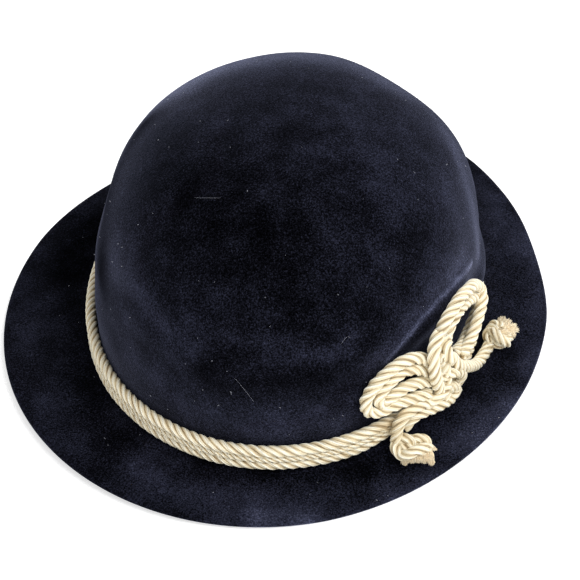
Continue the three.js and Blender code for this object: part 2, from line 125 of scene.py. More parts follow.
@dataclass(frozen=True)
class HatForm:
    """The hat's shape: its sizes in mm, and the points of its felt and trim in metres."""

    thickness: float = 2.2
    brim_half_width: float = 120.6
    brim_half_length: float = 133.6
    brim_lift: float = 2.1
    lift_angle: float = 37.0
    pressed_flat: float = 0.8
    crown_half_width: float = 83.0
    crown_half_length: float = 98.8
    centre_x: float = 6.8
    centre_y: float = -6.7
    foot_height: float = 8.8
    foot_tilt: float = 2.6
    crown_height: float = 101.2
    lean_x: float = 6.3
    lean_y: float = -8.3
    squareness: float = 3.48
    roundness: float = 2.16
    bulge: float = 0.9
    bulge_height: float = 24.0
    bulge_tall: float = 14.0
    relief: tuple[Form, ...] = (
        Form(-88, 26, 78, 16, -1.1),  # hollow over the cord
        Form(-92, 51, 72, 14, 1.3),  # soft roll in front
        Form(-34, 27, 36, 16, -1.9),  # dent behind the bow
        Form(-38, 45, 30, 8, 1.6),  # crease over the bow
        Form(0, 4, 36, 24, -3),  # foot drawn in at the left
        Form(-10, 22.5, 24, 9.5, 2.8),  # swell over the cord, left
        Form(12, 56, 28, 28, 1.3),  # full left side
        Form(45, 77, 32, 22, -2.7),  # flat at the left rear
        Form(138, 78, 42, 22, 1.5),  # corner at the right rear
        Form(-178, 28, 18, 13, -1.3),  # dent over the cord, right
        Form(-154, 4, 40, 20, 1.0),  # foot full at the right front
        Form(178, 55, 26, 24, -2.1),  # flat on the right side
    )
    outline: tuple[Reach, ...] = (
        Reach(126, 34, -5.5),  # short at the right rear
        Reach(56, 36, 5.0),  # wide at the left rear
        Reach(7, 20, -1.8),  # drawn in at the left
    )

    def edge_lift(self, angle: np.ndarray) -> np.ndarray:
        """How far the underside of the brim's edge stands off the surface, in mm."""
        wave = self.brim_lift * (1 + np.cos(2 * np.radians(angle - self.lift_angle)))
        return np.maximum(0.0, wave - self.pressed_flat)

    def crown(self, angle: np.ndarray, turn: np.ndarray) -> np.ndarray:
        """Points of the felt's outer face on the crown.

        Args:
            angle: Degrees round the hat.
            turn: Degrees up the side curve, from 0 at the foot to 90 at the top.

        Returns:
            The points, in metres.
        """
        angle, turn = np.broadcast_arrays(np.asarray(angle, float), np.asarray(turn, float))
        round_hat, up_side = np.radians(angle), np.radians(turn)
        rise = np.maximum(np.sin(up_side), 0.0) ** (2 / self.squareness)
        reach = np.maximum(np.cos(up_side), 0.0) ** (2 / self.roundness)
        above = rise * self.crown_height
        push = self.bulge * soft_bump((above - self.bulge_height) / self.bulge_tall)
        for form in self.relief:
            across = soft_bump(turn_between(angle, form.angle) / form.spread)
            push = push + form.depth * across * soft_bump((above - form.height) / form.tall)
        foot = self.foot_height + self.foot_tilt * np.sin(round_hat)
        top = self.foot_height + self.crown_height
        x = self.centre_x + self.lean_x * rise + (self.crown_half_width * reach + push) * np.cos(round_hat)
        y = self.centre_y + self.lean_y * rise + (self.crown_half_length * reach + push) * np.sin(round_hat)
        return np.stack([x, y, foot + (top - foot) * rise], axis=-1) * MM

    def side(self, angle: np.ndarray, above: np.ndarray) -> np.ndarray:
        """Points of the crown's outer face at a height in mm above the foot."""
        rise = np.clip(np.asarray(above, float) / self.crown_height, 0.0, 1.0)
        return self.crown(angle, np.degrees(np.arcsin(rise ** (self.squareness / 2))))

    def brim(self, angle: np.ndarray, share: np.ndarray) -> np.ndarray:
        """Points of the brim's outer face, from share 0 at the foot to 1 at the edge."""
        angle, share = np.broadcast_arrays(np.asarray(angle, float), np.asarray(share, float))
        round_hat = np.radians(angle)
        extra = sum(p.reach * soft_bump(turn_between(angle, p.angle) / p.spread) for p in self.outline)
        foot = self.crown(angle, np.zeros_like(angle))
        edge_x = (self.brim_half_width + extra) * np.cos(round_hat) * MM
        edge_y = (self.brim_half_length + extra) * np.sin(round_hat) * MM
        edge_z = (self.edge_lift(angle) + self.thickness) * MM
        fall = 1 - (1 - share) ** 2
        x = foot[..., 0] + (edge_x - foot[..., 0]) * share
        y = foot[..., 1] + (edge_y - foot[..., 1]) * share
        z = foot[..., 2] + (edge_z - foot[..., 2]) * fall
        return np.stack([x, y, z], axis=-1)

    def outward(self, points: np.ndarray) -> np.ndarray:
        """The level directions away from the crown's middle at some points."""
        level = np.array(points, float)
        level[..., 0] -= self.centre_x * MM
        level[..., 1] -= self.centre_y * MM
        level[..., 2] = 0.0
        return unit(level)

    def trim(self, places: list[Place]) -> np.ndarray:
        """The points in metres of some places on the trim."""
        angle, above, off = (np.array(column, float) for column in zip(*places))
        side = self.side(angle, np.maximum(above, 0.0))
        side[:, 2] += np.minimum(above, 0.0) * MM
        return side + self.outward(side) * (off * MM)[:, None]


HAT = HatForm()

# Lint at this height, which is below the crown's foot, is put on the brim.
BELOW_FOOT = -3


def smooth_line(points: np.ndarray, spacing: float) -> np.ndarray:
    """A smooth centripetal line through some points, cut into even steps.

    Args:
        points: The points, in metres.
        spacing: The length of a step, in metres, which is fitted to the line.

    Returns:
        The points at the ends of the steps.
    """
    before = 2 * points[0] - points[1]
    after = 2 * points[-1] - points[-2]
    knots = np.vstack([before, points, after])
    share = np.linspace(0, 1, 24, endpoint=False)[:, None]
    line = []
    for p0, p1, p2, p3 in zip(knots, knots[1:], knots[2:], knots[3:]):
        d0, d1, d2 = (math.sqrt(np.linalg.norm(b - a)) for a, b in ((p0, p1), (p1, p2), (p2, p3)))
        t1 = ((p1 - p0) / d0 - (p2 - p0) / (d0 + d1) + (p2 - p1) / d1) * d1
        t2 = ((p2 - p1) / d1 - (p3 - p1) / (d1 + d2) + (p3 - p2) / d2) * d1
        c2 = 3 * (p2 - p1) - 2 * t1 - t2
        c3 = 2 * (p1 - p2) + t1 + t2
        line.append(p1 + share * (t1 + share * (c2 + share * c3)))
    line = np.vstack([*line, points[-1]])
    return even_steps(line, spacing)


def even_steps(line: np.ndarray, spacing: float) -> np.ndarray:
    """The same line with its points at even steps of about the spacing."""
    run = np.concatenate([[0.0], np.cumsum(np.linalg.norm(np.diff(line, axis=0), axis=1))])
    steps = max(2, round(run[-1] / spacing))
    at = np.linspace(0, run[-1], steps + 1)
    return np.stack([np.interp(at, run, line[:, axis]) for axis in range(3)], axis=-1)


def carried_frames(line: np.ndarray, hint: np.ndarray) -> tuple[np.ndarray, np.ndarray, np.ndarray]:
    """Frames along an open line that turn as little as they can.

    Args:
        line: The line's points.
        hint: The direction that the first frame's normal leans to.

    Returns:
        The tangents, normals and binormals.
    """
    tangent = unit(np.gradient(line, axis=0))
    normal = np.zeros_like(line)
    normal[0] = unit(hint - tangent[0] * (hint @ tangent[0]))
    for i in range(1, len(line)):
        carried = normal[i - 1] - tangent[i] * (normal[i - 1] @ tangent[i])
        normal[i] = unit(carried)
    return tangent, normal, np.cross(tangent, normal)


def mesh_points(mesh: bpy.types.Mesh) -> np.ndarray:
    """The points of a mesh, one a row."""
    points = np.zeros(len(mesh.vertices) * 3)
    mesh.vertices.foreach_get("co", points)
    return points.reshape(-1, 3)


def write_value(mesh: bpy.types.Mesh, name: str, values: np.ndarray) -> None:
    """Writes one number for each point of a mesh, for its finish to read."""
    attribute = mesh.attributes.new(name, "FLOAT", "POINT")
    attribute.data.foreach_set("value", values.astype(np.float32))


class Builder:
    """Turns arrays of rings into one mesh with a UV map and a depth value for its finish."""

    def __init__(self) -> None:
        """Starts with nothing."""
        self.points: list[np.ndarray] = []
        self.depths: list[np.ndarray] = []
        self.faces: list[np.ndarray] = []
        self.uvs: list[np.ndarray] = []
        self.count = 0

    def tube(self, rings: np.ndarray, depth: np.ndarray, along: np.ndarray, closed: bool) -> None:
        """Adds a tube of quads.

        Args:
            rings: Points of the rings, as rings by sides by 3.
            depth: For each point, 0 deep inside the cord to 1 on its outside.
            along: For each ring, its place along the tube for the UV map.
            closed: Whether the last ring joins the first. An open tube gets two pointed ends.
        """
        count, sides = rings.shape[:2]
        if not closed:
            ends = rings[[0, -1]].mean(axis=1, keepdims=True)
            inward = np.repeat(ends, sides, axis=1)
            rings = np.concatenate([inward[:1], rings, inward[1:]])
            depth = np.concatenate([depth[:1], depth, depth[-1:]])
            along = np.concatenate([along[:1], along, along[-1:]])
            count += 2
        ring, side = np.meshgrid(np.arange(count if closed else count - 1), np.arange(sides), indexing="ij")
        following, beside = (ring + 1) % count, (side + 1) % sides
        here, ahead = ring * sides, following * sides
        corners = [here + side, here + beside, ahead + beside, ahead + side]
        self.faces.append(np.stack(corners, axis=-1).reshape(-1, 4) + self.count)
        step = along[1] - along[0] if closed else 0.0
        last = np.append(along, along[-1] + step)
        u = np.stack([side, side + 1, side + 1, side], axis=-1) / sides
        v = np.stack([last[ring], last[ring], last[ring + 1], last[ring + 1]], axis=-1)
        self.uvs.append(np.stack([u, v], axis=-1).reshape(-1, 2))
        self.points.append(rings.reshape(-1, 3))
        self.depths.append(depth.reshape(-1))
        self.count += count * sides

    def strand(
        self, line: np.ndarray, hint: np.ndarray, radius: np.ndarray, depth: np.ndarray, sides: int
    ) -> None:
        """Adds a thin round strand along an open line.

        Args:
            line: The strand's points.
            hint: The direction that its first side leans to.
            radius: Its half-thickness at each point, in metres.
            depth: Its depth value at each point.
            sides: The number of its sides.
        """
        around = np.linspace(0, 2 * math.pi, sides, endpoint=False)[:, None]
        _, normal, binormal = carried_frames(line, hint)
        ring = normal[:, None] * np.cos(around) + binormal[:, None] * np.sin(around)
        rings = line[:, None] + ring * radius[:, None, None]
        self.tube(rings, np.repeat(depth[:, None], sides, axis=1), np.linspace(0, 1, len(line)), closed=False)

    def finish(self, name: str, material: Material, shades: tuple[Shade, ...] = ()) -> Piece:
        """Makes the mesh object.

        Args:
            name: The piece's name.
            material: Its finish.
            shades: Places of painted shade, where the depth value is lowered so that the finish comes out
                darker.

        Returns:
            The new object, at the origin.
        """
        points, depth = np.vstack(self.points), np.concatenate(self.depths)
        # Painted shade: lowers the depth value near each shade place, so the cord's finish comes out darker
        # there.
        for shade in shades:
            away = np.linalg.norm(points - HAT.trim([shade.place])[0], axis=1) / (shade.reach * MM)
            depth = depth * (1 - shade.amount * np.exp(-(away**2)))
        mesh = bpy.data.meshes.new(name)
        mesh.from_pydata(points.tolist(), [], np.vstack(self.faces).tolist())
        layer = mesh.uv_layers.new(name="along")
        layer.data.foreach_set("uv", np.vstack(self.uvs).astype(np.float32).ravel())
        write_value(mesh, "depth", depth)
        mesh.shade_smooth()
        mesh.materials.append(material)
        mesh.validate()
        piece = bpy.data.objects.new(name, mesh)
        bpy.context.scene.collection.objects.link(piece)
        return piece


@dataclass(frozen=True)
class TwistedCord:
    """A cord laid from four plies with a Z twist, each ply of several yarns. Its sizes are in mm."""

    diameter: float = 4.9
    lay: float = 17.0
    plies: int = 4
    plumpness: float = 0.445
    yarns: int = 6
    yarn_lay: float = 40.0
    yarn_groove: float = 0.18
    unevenness: float = 0.06
    sides: int = 18
    crowding: float = 0.6
    spacing: float = 0.8
    ply_width: float = 1.04
    yarn_fullness: float = 0.7
    groove_light: float = 0.3
    # Slow waves of the plies: their number for each turn of the lay, and their shift from ply to ply.
    wander: tuple[tuple[float, float], ...] = ((2.3, 2.4), (0.7, 4.1))
    swelling: tuple[float, float] = (1.4, 5.3)

    def section(self) -> tuple[np.ndarray, np.ndarray]:
        """A ply's section: the angles of its points, closer together outside, and their depths."""
        share = (np.arange(self.sides) / self.sides - 0.5) * 2 * math.pi
        around = share - self.crowding * np.sin(share)
        radius = self.diameter / 2
        ply_radius = radius * self.plumpness
        slope = math.atan2(2 * math.pi * (radius - ply_radius), self.lay)
        meeting = min(1.0, self.lay / self.plies * math.sin(slope) / 2 / ply_radius)
        crease = math.sqrt(1 - meeting**2)
        return around, np.clip((np.cos(around) - crease) / (1 - crease), 0, 1)

    def add(
        self,
        builder: Builder,
        line: np.ndarray,
        hint: np.ndarray,
        closed: bool = False,
        phase: float = 0.0,
        swell: np.ndarray | None = None,
    ) -> None:
        """Adds the cord's plies to a mesh.

        Args:
            builder: The mesh that is being made.
            line: The cord's middle line, in even steps.
            hint: The side of the first frame, or of each frame of a closed cord.
            closed: Whether the cord joins its own start.
            phase: Where the first ply starts, in turns.
            swell: For each point, the cord's thickness against its usual one.
        """
        radius = self.diameter * MM / 2
        ply_radius = radius * self.plumpness
        helix = radius - ply_radius
        if closed:
            tangent = unit(np.roll(line, -1, axis=0) - np.roll(line, 1, axis=0))
            normal = unit(hint - tangent * np.sum(hint * tangent, axis=1, keepdims=True))
            binormal = np.cross(tangent, normal)
        else:
            tangent, normal, binormal = carried_frames(line, hint)
        stepped = np.linalg.norm(np.diff(line, axis=0), axis=1)
        run = np.concatenate([[0.0], np.cumsum(stepped)])
        whole = run[-1] + (np.linalg.norm(line[0] - line[-1]) if closed else 0.0)
        turns, yarn_turns = whole / (self.lay * MM), whole / (self.yarn_lay * MM)
        if closed:
            turns, yarn_turns = round(turns), round(yarn_turns)
        swell = np.ones(len(line)) if swell is None else swell
        around, exposed = self.section()
        for ply in range(self.plies):
            waves = 2 * math.pi * run / whole
            wander = sum(np.sin(waves * round(turns * rate) + shift * ply) for rate, shift in self.wander)
            twist = 2 * math.pi * (run / whole * turns + phase + ply / self.plies) + self.unevenness * wander
            radial = normal * np.cos(twist)[:, None] + binormal * np.sin(twist)[:, None]
            centre = line + radial * (helix * swell)[:, None]
            if closed:
                forward = unit(np.roll(centre, -1, axis=0) - np.roll(centre, 1, axis=0))
            else:
                forward = unit(np.gradient(centre, axis=0))
            out = unit(radial - forward * np.sum(radial * forward, axis=1, keepdims=True))
            across = np.cross(forward, out)
            yarn_turn = 2 * math.pi * (run / whole * yarn_turns)[:, None]
            yarn = np.abs(np.cos((around[None, :] * self.yarns + yarn_turn + ply) / 2)) ** self.yarn_fullness
            rate, shift = self.swelling
            fuller = self.unevenness / 2 * np.sin(waves * round(turns * rate) + shift * ply)
            plump = ply_radius * swell * (1 + fuller)
            thick = plump[:, None] * (1 - self.yarn_groove * (1 - yarn))
            rings = (
                centre[:, None]
                + out[:, None] * (np.cos(around)[None, :] * thick)[..., None]
                + across[:, None] * (np.sin(around)[None, :] * thick * self.ply_width)[..., None]
            )
            # Painted shade: the value falls in the creases between plies and in the grooves between yarns,
            # and the finish paints the yarn darker there.
            depth = exposed[None, :] * (self.groove_light + (1 - self.groove_light) * yarn)
            builder.tube(rings, depth, run / (self.lay * MM), closed)


def fresh_nodes(material: Material) -> tuple[Tree, Shader]:
    """Clears a material to one Principled shader and its output.

    Args:
        material: The material.

    Returns:
        Its node tree and the shader.
    """
    material.use_nodes = True
    tree = material.node_tree
    tree.nodes.clear()
    output = tree.nodes.new("ShaderNodeOutputMaterial")
    shader = tree.nodes.new("ShaderNodeBsdfPrincipled")
    tree.links.new(shader.outputs["BSDF"], output.inputs["Surface"])
    return tree, shader


def noise_node(tree: Tree, vector: Socket, scale: float, detail: float) -> Socket:
    """Adds a noise texture.

    Args:
        tree: The material's nodes.
        vector: The coordinates that it reads.
        scale: Its size, per metre.
        detail: Its octaves.

    Returns:
        Its value.
    """
    node = tree.nodes.new("ShaderNodeTexNoise")
    node.inputs["Scale"].default_value = scale
    node.inputs["Detail"].default_value = detail
    tree.links.new(vector, node.inputs["Vector"])
    return node.outputs["Fac"]


def ramp_node(tree: Tree, value: Socket, stops: list[tuple[float, tuple]]) -> Socket:
    """Adds a colour ramp.

    Args:
        tree: The material's nodes.
        value: What it reads.
        stops: Its places and their linear colours.

    Returns:
        Its colour.
    """
    node = tree.nodes.new("ShaderNodeValToRGB")
    elements = node.color_ramp.elements
    elements[0].position, elements[0].color = stops[0][0], (*stops[0][1], 1.0)
    elements[1].position, elements[1].color = stops[-1][0], (*stops[-1][1], 1.0)
    for place, colour in stops[1:-1]:
        elements.new(place).color = (*colour, 1.0)
    tree.links.new(value, node.inputs["Fac"])
    return node.outputs["Color"]


def math_node(tree: Tree, operation: str, *values: Socket | float) -> Socket:
    """Adds a math node.

    Args:
        tree: The material's nodes.
        operation: Its operation.
        values: Its inputs, as sockets or numbers.

    Returns:
        Its value.
    """
    node = tree.nodes.new("ShaderNodeMath")
    node.operation = operation
    for socket, value in zip(node.inputs, values):
        if isinstance(value, (int, float)):
            socket.default_value = value
        else:
            tree.links.new(value, socket)
    return node.outputs["Value"]


def value_node(tree: Tree, name: str) -> Socket:
    """Adds a node that reads the mesh's point value of that name."""
    node = tree.nodes.new("ShaderNodeAttribute")
    node.attribute_name = name
    return node.outputs["Fac"]


def bump_node(
    tree: Tree,
    shader: Shader,
    height: Socket,
    distance: float,
    strength: float,
) -> None:
    """Raises a material's surface by a height pattern.

    Args:
        tree: The material's nodes.
        shader: The shader whose normal it sets.
        height: The pattern, from 0 to 1.
        distance: The height of 1, in metres.
        strength: How much of it shows.
    """
    node = tree.nodes.new("ShaderNodeBump")
    node.inputs["Distance"].default_value = distance
    node.inputs["Strength"].default_value = strength
    tree.links.new(height, node.inputs["Height"])
    tree.links.new(node.outputs["Normal"], shader.inputs["Normal"])


@dataclass(frozen=True)
class Velour:
    """Deep navy velour: a dark ground under a raised nap with a cool bloom at its edges."""

    name: str = "velour"
    dark: Colour = (0.0003, 0.0003, 0.0004)
    middle: Colour = (0.0034, 0.0035, 0.0054)
    light: Colour = (0.022, 0.024, 0.042)
    # Painted highlight: the ramp reaches this colour mostly where strokes paint the velour lighter, as along
    # the crease over the bow.
    painted_highlight: Colour = (0.1, 0.11, 0.18)
    sheen_tint: Colour = (0.5, 0.54, 0.8)
    sheen: float = 0.3
    patch_scale: float = 90.0
    tuft_scale: float = 1400.0
    pile_scale: float = 2900.0

    def material(self) -> Material:
        """Builds the finish. The point value it reads for the strokes is 1 where nothing is painted; above 1
        it paints the base colour and the sheen lighter, and below 1 darker: painted light and shade, with
        some brushed nap.
        """
        material = bpy.data.materials.new(self.name)
        tree, shader = fresh_nodes(material)
        shader.inputs["Roughness"].default_value = 0.95
        shader.inputs["Specular IOR Level"].default_value = 0.0
        shader.inputs["Sheen Roughness"].default_value = 0.34
        shader.inputs["Sheen Tint"].default_value = (*self.sheen_tint, 1.0)
        place = tree.nodes.new("ShaderNodeTexCoord").outputs["Object"]
        nap_and_painted_light = value_node(tree, "nap_and_painted_light")
        patches = noise_node(tree, place, self.patch_scale, 3.0)
        tufts = noise_node(tree, place, self.tuft_scale, 1.0)
        pile = noise_node(tree, place, self.pile_scale, 1.0)
        grain = math_node(tree, "MULTIPLY_ADD", pile, 0.5, math_node(tree, "MULTIPLY", tufts, 0.5))
        tone = math_node(tree, "MULTIPLY_ADD", patches, 0.3, math_node(tree, "SUBTRACT", grain, 0.15))
        # Painted light and shade: the strokes' value lightens and darkens the base colour here, and scales
        # the sheen's weight below.
        tone = math_node(tree, "MULTIPLY_ADD", nap_and_painted_light, 0.12, math_node(tree, "SUBTRACT", tone, 0.12))
        stops = [(0.34, self.dark), (0.5, self.middle), (0.72, self.light), (1.0, self.painted_highlight)]
        colour = ramp_node(tree, tone, stops)
        tree.links.new(colour, shader.inputs["Base Color"])
        bloom = math_node(tree, "MULTIPLY_ADD", grain, 2.2, -0.1)
        bloom = math_node(tree, "MULTIPLY", bloom, math_node(tree, "MULTIPLY", nap_and_painted_light, self.sheen))
        tree.links.new(math_node(tree, "MAXIMUM", bloom, 0.0), shader.inputs["Sheen Weight"])
        bump_node(tree, shader, grain, 0.0006, 0.4)
        return material


@dataclass(frozen=True)
class CordYarn:
    """Shiny twisted yarn, with painted shade: tan and darker in the creases between plies and yarns, bright
    on the outside of the plies.
    """

    name: str = "cord_yarn"
    # Painted shade: the crease and low colours paint the shade in the creases between plies and yarns.
    crease: Colour = (0.42, 0.31, 0.17)
    low: Colour = (0.68, 0.56, 0.35)
    side: Colour = (0.82, 0.73, 0.52)
    crown: Colour = (0.95, 0.915, 0.78)
    yarns: int = 3

    def material(self) -> Material:
        """Builds the finish. The point value "depth" is 0 in a crease and 1 on a ply's outside, and the ramp
        paints shade from it: tan in the creases.
        """
        material = bpy.data.materials.new(self.name)
        tree, shader = fresh_nodes(material)
        shader.inputs["Roughness"].default_value = 0.38
        shader.inputs["Specular IOR Level"].default_value = 0.6
        shader.inputs["Sheen Weight"].default_value = 0.2
        shader.inputs["Sheen Roughness"].default_value = 0.4
        shader.inputs["Sheen Tint"].default_value = (1.0, 0.95, 0.8, 1.0)
        coordinates = tree.nodes.new("ShaderNodeTexCoord")
        stretch = tree.nodes.new("ShaderNodeMapping")
        stretch.inputs["Scale"].default_value = (4.0, 0.9, 1.0)
        tree.links.new(coordinates.outputs["UV"], stretch.inputs["Vector"])
        streaks = noise_node(tree, stretch.outputs["Vector"], 3.0, 2.0)
        yarns = tree.nodes.new("ShaderNodeTexWave")
        yarns.bands_direction = "X"
        yarns.inputs["Scale"].default_value = self.yarns * 2 * math.pi / 20
        yarns.inputs["Distortion"].default_value = 3.0
        yarns.inputs["Detail"].default_value = 1.0
        yarns.inputs["Detail Scale"].default_value = 1.4
        tree.links.new(coordinates.outputs["UV"], yarns.inputs["Vector"])
        depth = value_node(tree, "depth")
        shade = math_node(tree, "MULTIPLY_ADD", streaks, 0.7, math_node(tree, "SUBTRACT", depth, 0.33))
        lines = math_node(tree, "MULTIPLY_ADD", yarns.outputs["Fac"], 0.6, 0.55)
        shade = math_node(tree, "MULTIPLY", shade, lines)
        stops = [(0.0, self.crease), (0.1, self.low), (0.3, self.side), (0.85, self.crown)]
        tree.links.new(ramp_node(tree, shade, stops), shader.inputs["Base Color"])
        bump_node(tree, shader, yarns.outputs["Fac"], 0.0003, 0.6)
        return material


@dataclass(frozen=True)
class CutYarn:
    """The frayed ends: loose dull fibres, more tan than the cord."""

    name: str = "cut_yarn"
    root: Colour = (0.82, 0.62, 0.37)
    tip: Colour = (1.0, 0.91, 0.69)

    def material(self) -> Material:
        """Builds the finish. The point value "depth" is 0 for a dark fibre and 1 for a light one."""
        material = bpy.data.materials.new(self.name)
        tree, shader = fresh_nodes(material)
        shader.inputs["Roughness"].default_value = 0.6
        shader.inputs["Sheen Weight"].default_value = 0.2
        shader.inputs["Sheen Tint"].default_value = (1.0, 0.9, 0.75, 1.0)
        depth = value_node(tree, "depth")
        colour = ramp_node(tree, depth, [(0.1, self.root), (0.8, self.tip)])
        tree.links.new(colour, shader.inputs["Base Color"])
        return material


@dataclass(frozen=True)
class LintFluff:
    """Pale grey fluff."""

    name: str = "lint"
    colour: Colour = (0.3, 0.31, 0.36)

    def material(self) -> Material:
        """Builds the finish, which is the same all over."""
        material = bpy.data.materials.new(self.name)
        _, shader = fresh_nodes(material)
        shader.inputs["Base Color"].default_value = (*self.colour, 1.0)
        shader.inputs["Roughness"].default_value = 0.8
        return material


# Strokes of painted sheen, highlight and shadow on the velour, with some brushed nap, read off the
# photograph: on the crown first and then on the brim.
NAP_AND_PAINTED_LIGHT_STROKES = (
    Stroke((Place(10, 75, 0), Place(-5, 66, 0), Place(-10, 48, 0), Place(-10, 30, 0)), 6, 0.7),
    Stroke((Place(140, 88, 0), Place(100, 93, 0), Place(60, 92, 0), Place(30, 88, 0)), 10, 0.5),
    Stroke((Place(0, 98, 0), Place(-15, 96, 0), Place(-25, 88, 0)), 15, 0.5),
    Stroke((Place(-120, 93, 0), Place(-100, 86, 0), Place(-92, 76, 0)), 20, -0.3),
    Stroke((Place(-130, 90, 0), Place(-110, 92, 0), Place(-90, 90, 0)), 18, -0.3),
    Stroke((Place(160, 85, 0), Place(190, 92, 0), Place(215, 92, 0)), 14, -0.35),
    Stroke((Place(200, 56, 0), Place(190, 64, 0), Place(175, 74, 0), Place(160, 80, 0)), 10, -0.6),
    Stroke((Place(205, 45, 0), Place(190, 50, 0), Place(180, 60, 0)), 8, -0.5),
    Stroke((Place(-15, 74, 0), Place(-25, 62, 0), Place(-35, 58, 0)), 12, 0.4),
    Stroke((Place(-155, 66, 0), Place(-145, 66, 0)), 8, 0.6),
    Stroke((Place(-150, 60, 0), Place(-135, 62, 0), Place(-115, 55, 0)), 5, 0.8),
    Stroke((Place(-140, 49, 0), Place(-118, 46, 0)), 4, 0.4),
    Stroke((Place(-105, 61, 0), Place(-85, 61, 0)), 3, 0.5),
    Stroke((Place(-84, 54, 0), Place(-75, 54, 0), Place(-67, 58, 0)), 4, 0.5),
    Stroke((Place(-110, 46, 0), Place(-90, 44, 0), Place(-76, 42, 0)), 7, -0.5),
    Stroke((Place(-138, 29, 0), Place(-126, 29, 0)), 7, 0.7),
    Stroke((Place(-115, 25, 0), Place(-95, 22, 0), Place(-75, 20, 0)), 9, 0.8),
    Stroke(
        (
            Place(-60, 41, 0), Place(-55, 46, 0), Place(-48, 50, 0), Place(-40, 51, 0),
            Place(-30, 49, 0), Place(-20, 44, 0),
        ),
        1.2,
        2.2,
    ),
    Stroke((Place(-62, 45, 0), Place(-48, 54, 0), Place(-25, 51, 0)), 6, 0.9),
    Stroke((Place(-56, 42, 0), Place(-45, 46, 0), Place(-33, 43, 0)), 3, -0.6),
    Stroke((Place(165, -1, 25), Place(150, -1, 31)), 14, -0.8),
    Stroke((Place(180, -1, 12), Place(165, -1, 18), Place(150, -1, 24)), 12, -0.6),
    Stroke((Place(-170, -2, 8), Place(-150, -2, 10), Place(-135, -2, 15)), 7, -0.5),
    Stroke((Place(-175, -5, 34), Place(-160, -5, 30), Place(-145, -5, 28)), 9, 0.3),
    Stroke((Place(-125, -4, 20), Place(-105, -4, 23), Place(-85, -4, 27)), 8, 1.2),
    Stroke((Place(-95, -4, 27), Place(-75, -4, 28), Place(-60, -4, 30)), 6, 0.8),
    Stroke((Place(-112, -2, 4), Place(-90, -2, 6), Place(-70, -2, 10)), 6, -0.5),
    Stroke((Place(-102, -3, 14), Place(-80, -3, 15)), 6, 0.5),
    Stroke((Place(-66, -3, 26), Place(-55, -3, 29)), 8, 0.6),
    Stroke((Place(-48, -3, 18), Place(-40, -3, 24), Place(-33, -3, 27)), 10, 0.9),
    Stroke((Place(-45, -4, 31), Place(-32, -4, 33), Place(-20, -4, 34)), 9, 1.0),
    Stroke((Place(-18, -4, 31), Place(0, -4, 32), Place(15, -4, 34)), 6, 0.9),
    Stroke((Place(33, -2, 29), Place(25, -2, 28), Place(15, -2, 26)), 9, 0.7),
    Stroke((Place(22, -3, 27), Place(5, -3, 25), Place(-10, -3, 20)), 10, 0.3),
)


